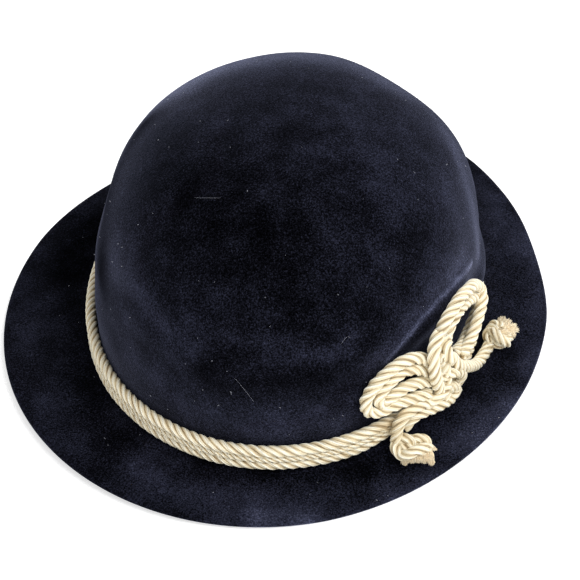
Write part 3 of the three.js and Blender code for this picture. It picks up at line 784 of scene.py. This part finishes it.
@dataclass
class FeltBody:
    """The felt: crown and brim in one piece, hollow and open below."""

    form: HatForm = HAT
    columns: int = 240
    crown_rows: int = 56
    brim_rows: int = 13
    edge_rows: int = 4
    inner_rows: int = 16
    row_crowding: float = 1.6
    edge_round: float = 0.9
    unevenness: float = 0.25
    broad_waves: float = 22.0
    fine_waves: float = 55.0
    calm_height: float = 6.0
    calm_rise: float = 10.0
    stroke_steps: int = 12
    darkest_nap_and_painted_light: float = 0.05

    def rings(self) -> list[np.ndarray]:
        """The felt's rings from the top of the crown, over the brim's edge, to the top inside."""
        angle = np.arange(self.columns) * 360.0 / self.columns
        turns = 90.0 * (np.arange(1, self.crown_rows) / self.crown_rows) ** self.row_crowding
        outer = [self.form.crown(angle, turn) for turn in turns[::-1]]
        outer += [self.form.brim(angle, share) for share in np.linspace(0, 1, self.brim_rows + 1)]
        edge = outer[-1]
        away = self.form.outward(edge)
        half = self.form.thickness * MM / 2
        rim = []
        for k in range(1, self.edge_rows):
            tip = math.pi * k / self.edge_rows
            down = UP * half * (math.cos(tip) - 1)
            rim.append(edge + down + away * self.edge_round * MM * math.sin(tip))
        shares = np.linspace(1, 0, self.brim_rows + 1)[:-1]
        under = [self.brim_inset(angle, share) for share in shares]
        foot = self.form.crown(angle, 0.0) - UP * self.form.thickness * MM
        foot -= self.form.outward(foot) * self.form.thickness * MM
        inner_turns = 90.0 * (np.arange(1, self.inner_rows) / self.inner_rows) ** self.row_crowding
        inside = [self.crown_inset(angle, turn) for turn in inner_turns]
        return [*outer, *rim, *under, foot, *inside]

    def inset(self, here: np.ndarray, round_hat: np.ndarray, down: np.ndarray) -> np.ndarray:
        """Points of the inner face, one thickness behind the outer one.

        Args:
            here: The outer face's points.
            round_hat: Its direction round the hat there.
            down: Its direction down the crown or out over the brim there.

        Returns:
            The inner face's points.
        """
        return here - unit(np.cross(down, round_hat)) * self.form.thickness * MM

    def brim_inset(self, angle: np.ndarray, share: float) -> np.ndarray:
        """A ring of the brim's underside."""
        round_hat = self.form.brim(angle + 1, share) - self.form.brim(angle - 1, share)
        down = self.form.brim(angle, share) - self.form.brim(angle, share - 0.05)
        return self.inset(self.form.brim(angle, share), round_hat, down)

    def crown_inset(self, angle: np.ndarray, turn: float) -> np.ndarray:
        """A ring of the crown's inside."""
        round_hat = self.form.crown(angle + 1, turn) - self.form.crown(angle - 1, turn)
        down = self.form.crown(angle, turn - 0.5) - self.form.crown(angle, turn + 0.5)
        return self.inset(self.form.crown(angle, turn), round_hat, down)

    def build(self, finish: Material) -> Piece:
        """Shapes a sphere into the felt: its upper pole is the outer top and its lower the inner.

        Args:
            finish: The velour.

        Returns:
            The felt piece.
        """
        rings = self.rings()
        deselect_all()
        bpy.ops.mesh.primitive_uv_sphere_add(segments=self.columns, ring_count=len(rings) + 1, radius=1)
        piece = bpy.context.object
        piece.name = piece.data.name = "felt_velour"
        points = mesh_points(piece.data)
        ring = np.rint(np.arccos(np.clip(points[:, 2], -1, 1)) / math.pi * (len(rings) + 1)).astype(int)
        column = np.rint(np.degrees(np.arctan2(points[:, 1], points[:, 0])) / 360 * self.columns).astype(int)
        top = self.form.crown(0.0, 90.0)
        poles = [top, top - UP * self.form.thickness * MM]
        first, last = (np.repeat([pole], self.columns, axis=0) for pole in poles)
        placed = np.stack([first, *rings, last])
        points = placed[ring, column % self.columns]
        points += self.uneven(points)
        piece.data.vertices.foreach_set("co", points.ravel())
        piece.data.update()
        subdivision = piece.modifiers.new("smooth", "SUBSURF")
        subdivision.levels = subdivision.render_levels = 1
        bpy.ops.object.modifier_apply(modifier=subdivision.name)
        bpy.ops.object.shade_smooth()
        self.paint_strokes(piece.data)
        piece.data.materials.append(finish)
        return piece

    def paint_strokes(self, mesh: bpy.types.Mesh) -> None:
        """Writes the painted light and shade of the strokes at each point, with some brushed nap."""
        points = mesh_points(mesh)
        nap_and_painted_light = np.ones(len(points))
        for stroke in NAP_AND_PAINTED_LIGHT_STROKES:
            places = np.array(stroke.line)
            spans = len(places) - 1
            share = np.linspace(0, spans, self.stroke_steps * spans + 1)
            columns = [np.interp(share, np.arange(len(places)), places[:, k]) for k in range(3)]
            near = np.full(len(points), np.inf)
            for spot in self.form.trim(list(zip(*columns))):
                near = np.minimum(near, np.linalg.norm(points - spot, axis=1))
            nap_and_painted_light += stroke.tone * np.exp(-((near / (stroke.width * MM)) ** 2))
        write_value(mesh, "nap_and_painted_light", np.maximum(nap_and_painted_light, self.darkest_nap_and_painted_light))

    def uneven(self, points: np.ndarray) -> np.ndarray:
        """Small hand-worn waves of the felt, level with its surface at the resting edge."""
        moved = np.zeros_like(points)
        away = self.form.outward(points)
        for i, point in enumerate(points):
            free = min(1.0, max(0.0, (point[2] - self.calm_height * MM) / (self.calm_rise * MM)))
            spot = Vector(point)
            wave = noise.noise(spot * self.broad_waves) + 0.5 * noise.noise(spot * self.fine_waves)
            moved[i] = away[i] * (self.unevenness * MM * free) * wave
        return moved


def deselect_all() -> None:
    """Clears the selection, so that an operator acts on the new piece alone."""
    for piece in bpy.context.selected_objects:
        piece.select_set(False)


@dataclass
class HatBand:
    """The cord round the crown's foot: two full rows and a thinner one sunk between them.

    Where they run into the knot, the rows rise and draw together into one flat bundle.
    """

    form: HatForm = HAT
    cord: TwistedCord = field(default_factory=lambda: TwistedCord(diameter=4.9))
    filler: TwistedCord = field(default_factory=lambda: TwistedCord(diameter=3.1, lay=11.0, sides=14))
    off_felt: float = 0.3
    filler_off_felt: float = 1.9
    lowest: float = 2.6
    row_spacing: float = 7.4
    gather_angle: float = -54.0
    gather_spread: float = 19.0
    gather_rise: float = 3.6
    gather_share: float = 0.42
    steps: int = 2880

    def row(
        self, name: str, cord: TwistedCord, level: float, off: float, phase: float, finish: Material
    ) -> Piece:
        """One closed row of cord.

        Args:
            name: The piece's name.
            cord: The cord that it is made of.
            level: Where it lies, from 0 for the lower row to 1 for the upper.
            off: The gap between it and the felt, in mm.
            phase: Where its first ply starts, in turns.
            finish: Its yarn.

        Returns:
            The new piece.
        """
        angle = np.linspace(0, 360, self.steps)
        gather = soft_bump(turn_between(angle, self.gather_angle) / self.gather_spread)
        spacing = self.row_spacing * (1 - self.gather_share * gather)
        above = self.lowest + self.gather_rise * gather + level * spacing
        side = self.form.side(angle, above)
        line = side + self.form.outward(side) * (cord.diameter / 2 + off) * MM
        line = even_steps(line, cord.spacing * MM)[:-1]
        builder = Builder()
        cord.add(builder, line, np.repeat([UP], len(line), axis=0), closed=True, phase=phase)
        return builder.finish(name, finish, SHADES)

    def build(self, finish: Material) -> dict[str, Piece]:
        """The band's pieces under the names of the solids that they stand for."""
        filler_off = self.filler_off_felt
        return {
            "band_cord_lower": self.row("band_row_lower", self.cord, 0.0, self.off_felt, 0.1, finish),
            "band_cord_middle": self.row("band_row_middle", self.filler, 0.5, filler_off, 0.3, finish),
            "band_cord_upper": self.row("band_row_upper", self.cord, 1.0, self.off_felt, 0.32, finish),
        }


# Painted shade where the cords lie deep between others, read off the photograph.
SHADES = (
    Shade(Place(-60, 11, 6), 4, 1.1),
    Shade(Place(-58, 16, 7), 3.5, 0.85),
    Shade(Place(-55, 18, 6), 3.5, 0.85),
    Shade(Place(-63, 11, 5), 3.5, 0.8),
    Shade(Place(-59, 5, 9), 4, 0.7),
    Shade(Place(-55, 33, 5), 2.5, 0.9),
    Shade(Place(-43, 18, 8), 4, 1.1),
    Shade(Place(-46, 9, 9), 2.5, 0.95),
    Shade(Place(-43, 4, 9), 2.5, 0.85),
    Shade(Place(-39, 12, 5), 4, 0.7),
    Shade(Place(-55, 4, 15), 3, 0.75),
    Shade(Place(-18, 3, 10), 3, 0.75),
)

# Routes of the bow's cords, of the knots' turns and of the frayed locks. Points were picked in
# the photograph, and the angle and height of each were then worked out for a chosen distance off the
# felt, so they weren't chosen by hand.
LOOP_FRONT_OUTER = [
    Place(-46.8, 30.1, 7.5), Place(-49.4, 34.3, 5.5), Place(-52.6, 38.2, 4), Place(-56.2, 39.2, 3),
    Place(-59.8, 38.3, 2.8), Place(-63.1, 35.9, 2.8), Place(-65.8, 32.4, 2.8), Place(-67.3, 27.8, 2.8),
    Place(-66.9, 23, 3.2), Place(-64.3, 21, 4), Place(-60.8, 21.6, 5), Place(-57.1, 21.4, 6),
    Place(-53.4, 20.3, 7), Place(-49.6, 18.5, 8),
]
LOOP_FRONT_INNER = [
    Place(-47.8, 26.6, 7), Place(-49.8, 29.3, 6), Place(-52.7, 32.5, 4.5), Place(-55.8, 34, 3.4),
    Place(-58.4, 33.3, 3), Place(-60.9, 31.4, 2.8), Place(-63, 29.3, 2.8), Place(-64, 27, 3.2),
    Place(-62.9, 24.4, 3.8), Place(-60.6, 25.6, 4.3), Place(-57.7, 27, 4.8), Place(-54.3, 26.8, 5.6),
    Place(-50.7, 24.8, 6.6), Place(-47.3, 22.6, 8),
]
LOOP_REAR_OUTER = [
    Place(-46.8, 31.6, 8), Place(-46.5, 35.9, 6), Place(-44.4, 39.6, 4), Place(-42.1, 43.4, 3),
    Place(-37.9, 45.9, 2.8), Place(-33.7, 46.4, 2.8), Place(-29, 44.2, 2.8), Place(-23.6, 38, 2.9),
    Place(-20.6, 31.8, 4.2), Place(-21.9, 28.7, 5.4), Place(-25.7, 26.1, 6.2), Place(-29.3, 23.3, 6.8),
    Place(-33.2, 21.4, 7.4), Place(-38, 22.6, 8.4),
]
LOOP_REAR_INNER = [
    Place(-43.9, 34.8, 7.6), Place(-42.3, 35.5, 6), Place(-40.7, 34.1, 4.4), Place(-38.4, 37.7, 3.4),
    Place(-35.4, 39.8, 3), Place(-30, 37.3, 2.8), Place(-24.7, 32.2, 2.8), Place(-22, 26.9, 2.8),
    Place(-23, 23.1, 2.8), Place(-25.4, 20.3, 2.8), Place(-28.7, 18.7, 3.2), Place(-33.4, 20, 4.6),
    Place(-39.6, 24.8, 7),
]
KNOT_CORE = [
    Place(-45.6, 35.5, 6.8), Place(-44.8, 29, 7.4), Place(-44.5, 19, 8), Place(-45.5, 7.6, 8.2),
]
KNOT_WRAPS = [
    [
        Place(-45.2, 44.4, 4.6), Place(-47.8, 41.3, 6.6), Place(-49, 38.3, 9), Place(-49.3, 33.6, 10.6),
        Place(-48.8, 26.7, 11), Place(-47, 17.4, 9.6), Place(-44.4, 7.9, 7.6),
    ],
    [
        Place(-46.9, 23.2, 7.4), Place(-45.2, 22.7, 8.8), Place(-42.7, 21.5, 9.6), Place(-39.6, 17.2, 9),
        Place(-36.9, 9.2, 7.6), Place(-37.7, 6.9, 6.6), Place(-41.4, 11.2, 6),
    ],
    [
        Place(-48.2, 17.8, 8), Place(-46.4, 17.1, 9.2), Place(-43.9, 14.8, 9.4), Place(-40.8, 9.7, 8.6),
        Place(-38.7, 3.2, 7.6),
    ],
    [
        Place(-40.4, 11.1, 8), Place(-40.6, 7.7, 8.8), Place(-42.6, 7.2, 9.6), Place(-45.7, 9.3, 10.2),
        Place(-48.7, 10.7, 9.8), Place(-51.4, 11.6, 9), Place(-53.8, 11.6, 8), Place(-55.6, 9.8, 7.2),
        Place(-57.2, 6.6, 6.8),
    ],
]
TAIL_REAR = [
    Place(-42.3, 35.5, 6.5), Place(-43.9, 34.8, 8.6), Place(-44, 32.1, 10.6), Place(-42, 28.6, 9.6),
    Place(-40.6, 23.6, 10), Place(-37, 16.3, 9), Place(-32.4, 8.2, 8.3), Place(-28.9, 3.2, 8.4),
    Place(-26.5, 1.3, 8.7), Place(-24.2, 0.4, 9.2), Place(-21.9, 0.2, 9.9), Place(-19.8, 0.5, 10.4),
]
TAIL_FRONT = [
    Place(-44.7, 17.5, 10), Place(-47.4, 17.4, 10.8), Place(-50.4, 15, 9), Place(-52.6, 16.4, 8.4),
    Place(-54.9, 16.8, 8), Place(-57.5, 15.7, 7.8), Place(-59.3, 12.4, 7.8), Place(-60, 7.2, 8),
    Place(-60.2, 3.6, 9),
]


@dataclass
class Bow:
    """The bow: two doubled loops, the knot between them and two free tails."""

    form: HatForm = HAT
    cord: TwistedCord = field(default_factory=lambda: TwistedCord(diameter=5.2))
    filling: TwistedCord = field(default_factory=lambda: TwistedCord(diameter=7.0))
    phase_step: float = 0.37

    def lay(
        self, name: str, finish: Material, routes: list[list[Place]], core: list[Place] | None = None
    ) -> Piece:
        """One piece of cord lengths along routes.

        Args:
            name: The piece's name.
            finish: Its yarn.
            routes: The routes of its lengths of cord.
            core: The route of the thick filling under them, if it has one.

        Returns:
            The new piece.
        """
        builder = Builder()
        for i, places in enumerate(routes):
            line = smooth_line(self.form.trim(places), self.cord.spacing * MM)
            self.cord.add(builder, line, self.form.outward(line)[0], phase=self.phase_step * i)
        if core:
            line = smooth_line(self.form.trim(core), self.filling.spacing * MM)
            self.filling.add(builder, line, self.form.outward(line)[0])
        return builder.finish(name, finish, SHADES)

    def build(self, finish: Material) -> dict[str, Piece]:
        """The bow's pieces under the names of the solids that they stand for."""
        return {
            "bow_loop_front": self.lay("loop_front", finish, [LOOP_FRONT_OUTER, LOOP_FRONT_INNER]),
            "bow_loop_rear": self.lay("loop_rear", finish, [LOOP_REAR_OUTER, LOOP_REAR_INNER]),
            "bow_knot": self.lay("knot", finish, KNOT_WRAPS, KNOT_CORE),
            "tail_cord_rear": self.lay("tail_rear", finish, [TAIL_REAR]),
            "tail_cord_front": self.lay("tail_front", finish, [TAIL_FRONT]),
        }


class Lock(NamedTuple):
    """A lock of cut fibres, from its root to its tip, with its half-widths at both in mm."""

    root: Place
    tip: Place
    root_width: float
    tip_width: float
    fibres: int


@dataclass
class StopperKnot:
    """The overhand knot at a tail's end, with the cut end frayed out of it. Sizes are in mm."""

    name: str
    turns: list[list[Place]]
    locks: list[Lock]
    seed: int = 3
    phase_step: float = 0.3
    fibre_radius: float = 0.16
    tip_share: float = 0.5
    root_light: float = 0.55
    flatness: float = 0.8
    fan: float = 1.25
    rounding: float = 0.22
    ragged: float = 0.3
    waviness: float = 0.22
    form: HatForm = HAT
    cord: TwistedCord = field(default_factory=lambda: TwistedCord(diameter=4.6, lay=15.0, spacing=0.5))

    def lock(self, builder: Builder, lock: Lock, chance: random.Random) -> None:
        """Adds the fibres of one lock, soft at its sides and blunt at its end."""
        root, tip = self.form.trim([lock.root, lock.tip])
        along = unit(tip - root)
        across = unit(np.cross(UP, along))
        lift = np.cross(along, across)
        length = np.linalg.norm(tip - root)
        share = np.linspace(0, 1, 6)[:, None]
        for _ in range(lock.fibres):
            turn, away = chance.uniform(0, 2 * math.pi), math.sqrt(chance.random())
            side = (across * math.cos(turn) + lift * math.sin(turn) * self.flatness) * away * MM
            start = root + side * lock.root_width
            end = tip + side * lock.tip_width * self.fan
            end = end - along * length * (away**2 * self.rounding + chance.random() ** 2 * self.ragged)
            wave = (across * chance.gauss(0, self.waviness) + lift * chance.gauss(0, self.waviness)) * MM
            line = start + (end - start) * share + wave * np.sin(share * math.pi * chance.uniform(0.8, 1.6))
            # Fibres in a lock's middle, and towards their roots, get lower values and so darker colours.
            light = 0.35 * away + 0.65 * chance.random()
            radius = self.fibre_radius * MM * np.linspace(1, self.tip_share, len(line))
            builder.strand(line, UP, radius, light * np.linspace(self.root_light, 1, len(line)), 3)

    def build(self, yarn: Material, cut: Material) -> tuple[Piece, Piece]:
        """Builds the knot.

        Args:
            yarn: The finish of its turns of cord.
            cut: The finish of its frayed fibres.

        Returns:
            The turns and the tuft.
        """
        turns, tuft = Builder(), Builder()
        for k, places in enumerate(self.turns):
            line = smooth_line(self.form.trim(places), self.cord.spacing * MM)
            self.cord.add(turns, line, self.form.outward(line)[0], phase=self.phase_step * k)
        chance = random.Random(self.seed)
        for lock in self.locks:
            self.lock(tuft, lock, chance)
        return turns.finish(f"{self.name}_turns", yarn, SHADES), tuft.finish(f"{self.name}_tuft", cut)


STOPPER_FRONT_TURNS = [
    [
        Place(-60.1, 3.4, 8.2), Place(-61, 2.4, 11), Place(-60.6, 1.6, 14.3), Place(-59.5, 2.8, 16.5),
        Place(-57.8, 4.2, 17.7), Place(-55.8, 3.6, 18.3), Place(-54, 1.8, 17.5),
    ],
    [
        Place(-60, 3, 9.7), Place(-59.3, 4.6, 9.3), Place(-58.2, 5.4, 11.1), Place(-57.1, 4.8, 12.9),
        Place(-56.7, 3, 14.2),
    ],
    [
        Place(-57.7, 2.6, 12.2), Place(-56.6, 4.4, 13), Place(-55.3, 4.6, 14.2), Place(-54.3, 3.4, 15.8),
        Place(-54.4, 1.4, 16.8),
    ],
    [
        Place(-59.6, 0.6, 12.8), Place(-58, 1.2, 15.6), Place(-56.3, 1.2, 17.7), Place(-54.3, 0.8, 18.5),
    ],
    [
        Place(-59.4, 2.2, 10.2), Place(-58.6, 2.6, 12.8), Place(-57.4, 2.6, 15.2), Place(-56, 2.2, 16.6),
    ],
]
STOPPER_FRONT_LOCKS = [
    Lock(Place(-58.9, 1, 13.3), Place(-60.7, -1.8, 17.4), 1.5, 1.4, 130),
    Lock(Place(-58, 1.4, 15.5), Place(-59.2, -1.6, 18.2), 1.6, 1.7, 150),
    Lock(Place(-56.9, 1.6, 17.2), Place(-57.7, -1.6, 19.9), 1.6, 1.8, 150),
    Lock(Place(-55.7, 1.4, 18.4), Place(-56.5, -1.6, 22), 1.6, 1.7, 150),
    Lock(Place(-54.6, 1, 18.7), Place(-55.6, -1.8, 24.3), 1.4, 1.3, 130),
    Lock(Place(-54.6, 1.6, 17), Place(-52.7, 0.2, 20.5), 1.2, 0.9, 60),
]
STOPPER_REAR_TURNS = [
    [
        Place(-20.2, 1.2, 12.3), Place(-19.6, 2, 9.6), Place(-18.4, 3, 9.1), Place(-17.7, 4.2, 10.7),
        Place(-17.8, 4.2, 13.1),
    ],
    [
        Place(-16.6, 1.2, 9.5), Place(-15.6, 2.6, 10.6), Place(-15.6, 3.6, 12.7),
        Place(-16.7, 3.4, 14.4),
    ],
    [
        Place(-17.9, 3.4, 9.7), Place(-19, 5, 11.9), Place(-19.9, 5, 14.3), Place(-20, 3.2, 16.5),
        Place(-19.2, 1, 17.6),
    ],
    [
        Place(-19.8, 0.6, 12.6), Place(-19.9, 1, 14.8), Place(-18.6, 0.8, 16.6), Place(-17, 0.4, 17.9),
    ],
]
STOPPER_REAR_LOCKS = [
    Lock(Place(-15.7, 1.6, 14.1), Place(-11.2, 0.6, 14.6), 1.6, 1.7, 120),
    Lock(Place(-15.5, 1.6, 15.4), Place(-11.8, 0.4, 17.4), 1.4, 1.4, 100),
    Lock(Place(-15.6, 1.4, 16.3), Place(-12.7, 0, 20.3), 1.2, 1.1, 80),
    Lock(Place(-15.9, 1.4, 16.7), Place(-14.2, 0, 21.8), 1.2, 1.3, 80),
    Lock(Place(-16.4, 1.2, 16.4), Place(-16.2, 0, 20.9), 1.4, 1.4, 90),
    Lock(Place(-17.2, 1.2, 15.3), Place(-17.5, 0, 18.9), 1.3, 1.3, 90),
    Lock(Place(-17.9, 3.2, 13.2), Place(-16.2, 2.2, 17.6), 2.0, 2.3, 160),
]

# Stray hairs on the nap, read off the photograph.
HAIRS = [
    [Place(-135, 92, 0.6), Place(-130, 93, 1), Place(-122, 94, 0.8)],
    [Place(-102, 47, 0.8), Place(-99, 41, 1.2), Place(-97, 35, 0.8)],
    [Place(-73, 57, 0.5), Place(-71, 59, 0.8), Place(-70, 58, 0.5)],
]


@dataclass
class Lint:
    """Stray hairs and specks of yarn caught in the nap. Sizes are in mm."""

    form: HatForm = HAT
    hair_radius: float = 0.03
    speck_radius: float = 0.13
    speck_length: float = 0.7
    hair_light: float = 0.25
    speck_light: float = 0.4
    dust: int = 110
    crown_heights: tuple[float, float] = (16.0, 100.0)
    brim_reach: tuple[float, float] = (6.0, 34.0)
    height: float = 0.3
    edge_share: float = 0.97
    seed: int = 11

    def settle(self, places: list[Place]) -> np.ndarray:
        """Points on the felt. A place below the crown's foot is on the brim, as far out as it says."""
        points = self.form.trim(places)
        for i, place in enumerate(places):
            if place.above < 0:
                angle = np.array([place.angle])
                foot, edge = self.form.brim(angle, 0.0)[0], self.form.brim(angle, 1.0)[0]
                share = place.off * MM / np.linalg.norm((edge - foot)[:2])
                points[i] = self.form.brim(angle, min(share, self.edge_share))[0] + UP * self.height * MM
        return points

    def build(self, finish: Material) -> Piece:
        """One piece with all the lint, in the given finish."""
        builder = Builder()
        chance = random.Random(self.seed)
        hairs = [smooth_line(self.settle(places), 0.8 * MM) for places in HAIRS]
        lines = [(hair, self.hair_radius, self.hair_light) for hair in hairs]
        dust = []
        for _ in range(self.dust):
            dust.append(Place(chance.uniform(-180, 180), chance.uniform(*self.crown_heights), self.height))
        for _ in range(self.dust // 3):
            dust.append(Place(chance.uniform(-180, 180), BELOW_FOOT, chance.uniform(*self.brim_reach)))
        for spot in self.settle(dust):
            lean = np.array([chance.uniform(-1, 1), chance.uniform(-1, 1), chance.uniform(-0.4, 0.4)])
            speck = spot + np.linspace(-0.5, 0.5, 4)[:, None] * lean * MM * self.speck_length
            lines.append((speck, self.speck_radius * chance.uniform(0.4, 1.1), self.speck_light))
        for line, radius, light in lines:
            thick = radius * MM * np.sin(np.linspace(0.5, math.pi - 0.5, len(line)))
            builder.strand(line, UP + 0.01, thick, np.full(len(line), light), 5)
        return builder.finish("lint", finish)


class LightKind(Enum):
    """What a studio light does."""

    KEY = "key"
    FILL = "fill"
    RIM = "rim"


@dataclass(frozen=True)
class Softbox:
    """A square soft light that faces the hat. Sizes are in metres and its power in watts."""

    kind: LightKind
    azimuth: float
    elevation: float
    distance: float
    size: float
    power: float
    colour: Colour = (1.0, 1.0, 1.0)
    aim_height: float = 0.05

    def build(self) -> None:
        """Adds the light to the scene."""
        light = bpy.data.lights.new(f"softbox_{self.kind.value}", "AREA")
        light.shape = "SQUARE"
        light.size = self.size
        light.energy = self.power
        light.color = self.colour
        stand = bpy.data.objects.new(light.name, light)
        away = view_direction(self.azimuth, self.elevation)
        stand.location = away * self.distance + Vector((0, 0, self.aim_height))
        stand.rotation_euler = away.to_track_quat("Z", "Y").to_euler()
        bpy.context.scene.collection.objects.link(stand)


def view_direction(azimuth: float, elevation: float) -> Vector:
    """The direction from the hat to a viewer, from two angles in degrees."""
    a, e = math.radians(azimuth), math.radians(elevation)
    return Vector((math.sin(a) * math.cos(e), -math.cos(a) * math.cos(e), math.sin(e)))


@dataclass
class Studio:
    """The floor, the light and the camera."""

    azimuth: float = 5.9
    elevation: float = 41.3
    distance: float = 0.6895
    roll: float = 6.65
    frame_pixels: float = 580.0
    focal_pixels: float = 1528.2
    origin_pixel: tuple[float, float] = (273.8, 298.3)
    sensor: float = 36.0
    floor_size: float = 12.0
    floor_drop: float = 0.0002
    sky: float = 0.36
    lights: tuple[Softbox, ...] = (
        Softbox(LightKind.KEY, 48.0, 48.0, 1.5, 0.7, 13.5),
        Softbox(LightKind.FILL, -25.0, 36.0, 1.6, 1.1, 9.0),
        Softbox(LightKind.RIM, 135.0, 40.0, 1.6, 0.9, 12.0),
    )

    def camera(self) -> None:
        """Sets the camera at the photograph's angle and framing."""
        back = view_direction(self.azimuth, self.elevation)
        a = math.radians(self.azimuth)
        right = Vector((math.cos(a), math.sin(a), 0))
        up = back.cross(right)
        c, s = math.cos(math.radians(self.roll)), math.sin(math.radians(self.roll))
        across, top = right * c - up * s, right * s + up * c
        lens = bpy.data.cameras.new("camera")
        lens.sensor_width = self.sensor
        lens.lens = self.focal_pixels * self.sensor / self.frame_pixels
        middle = self.frame_pixels / 2
        lens.shift_x = (middle - self.origin_pixel[0]) / self.frame_pixels
        lens.shift_y = (self.origin_pixel[1] - middle) / self.frame_pixels
        lens.clip_start, lens.clip_end = 0.05, 30.0
        camera = bpy.data.objects.new("camera", lens)
        turned = Matrix((across, top, back)).transposed().to_4x4()
        camera.matrix_world = Matrix.Translation(back * self.distance) @ turned
        bpy.context.scene.collection.objects.link(camera)
        bpy.context.scene.camera = camera

    def floor(self) -> None:
        """Lays the pale floor under the hat."""
        deselect_all()
        bpy.ops.mesh.primitive_plane_add(size=self.floor_size, location=(0, 0, -self.floor_drop))
        floor = bpy.context.object
        floor.name = "floor"
        material = bpy.data.materials.new("floor")
        _, shader = fresh_nodes(material)
        shader.inputs["Base Color"].default_value = (0.9, 0.9, 0.9, 1.0)
        shader.inputs["Emission Color"].default_value = (1.0, 1.0, 1.0, 1.0)
        shader.inputs["Emission Strength"].default_value = 0.42
        shader.inputs["Roughness"].default_value = 0.9
        shader.inputs["Specular IOR Level"].default_value = 0.1
        floor.data.materials.append(material)

    def build(self) -> None:
        """Sets up the whole studio."""
        world = bpy.data.worlds.new("studio")
        world.use_nodes = True
        background = world.node_tree.nodes["Background"]
        background.inputs["Color"].default_value = (1.0, 1.0, 1.0, 1.0)
        background.inputs["Strength"].default_value = self.sky
        bpy.context.scene.world = world
        bpy.context.scene.view_settings.view_transform = "Standard"
        for light in self.lights:
            light.build()
        self.camera()
        self.floor()


def place_piece(piece: Piece, slot: str, *nodes: str) -> None:
    """Fixes a piece to the hat, in the place of its plain solids.

    Args:
        piece: The piece.
        slot: The record's material slot; not used.
        nodes: The solids that it stands for.
    """
    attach(piece, "root")
    if nodes:
        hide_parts(*nodes)
    log.info("%s: %d faces", piece.name, len(piece.data.polygons))


def declare_tail(route: list[Place], cord: TwistedCord) -> None:
    """Works out a tail's middle line, which nothing uses further.

    Args:
        route: Its route, from the knot out.
        cord: The cord that it is made of.
    """
    line = smooth_line(HAT.trim(route), cord.spacing * MM)


def main() -> None:
    """Builds the hat and its studio."""
    logging.basicConfig(level=logging.INFO, format="%(message)s")
    Studio().build()
    velour, yarn, cut = Velour().material(), CordYarn().material(), CutYarn().material()

    place_piece(FeltBody().build(velour), "velour", "felt_body")
    for node, piece in HatBand().build(yarn).items():
        place_piece(piece, "cord_yarn", node)
    bow = Bow()
    pieces = bow.build(yarn)
    for node, piece in pieces.items():
        place_piece(piece, "cord_yarn", node)
    stoppers = {
        "rear": StopperKnot("stopper_rear", STOPPER_REAR_TURNS, STOPPER_REAR_LOCKS, seed=5),
        "front": StopperKnot("stopper_front", STOPPER_FRONT_TURNS, STOPPER_FRONT_LOCKS, seed=8),
    }
    routes = {"rear": TAIL_REAR, "front": TAIL_FRONT}
    for side, stopper in stoppers.items():
        turns, tuft = stopper.build(yarn, cut)
        place_piece(turns, "cord_yarn", f"end_knot_{side}")
        place_piece(tuft, "cut_yarn")
        declare_tail(routes[side], bow.cord)
    place_piece(Lint().build(LintFluff().material()), "velour")


if __name__ == "__main__":
    main()
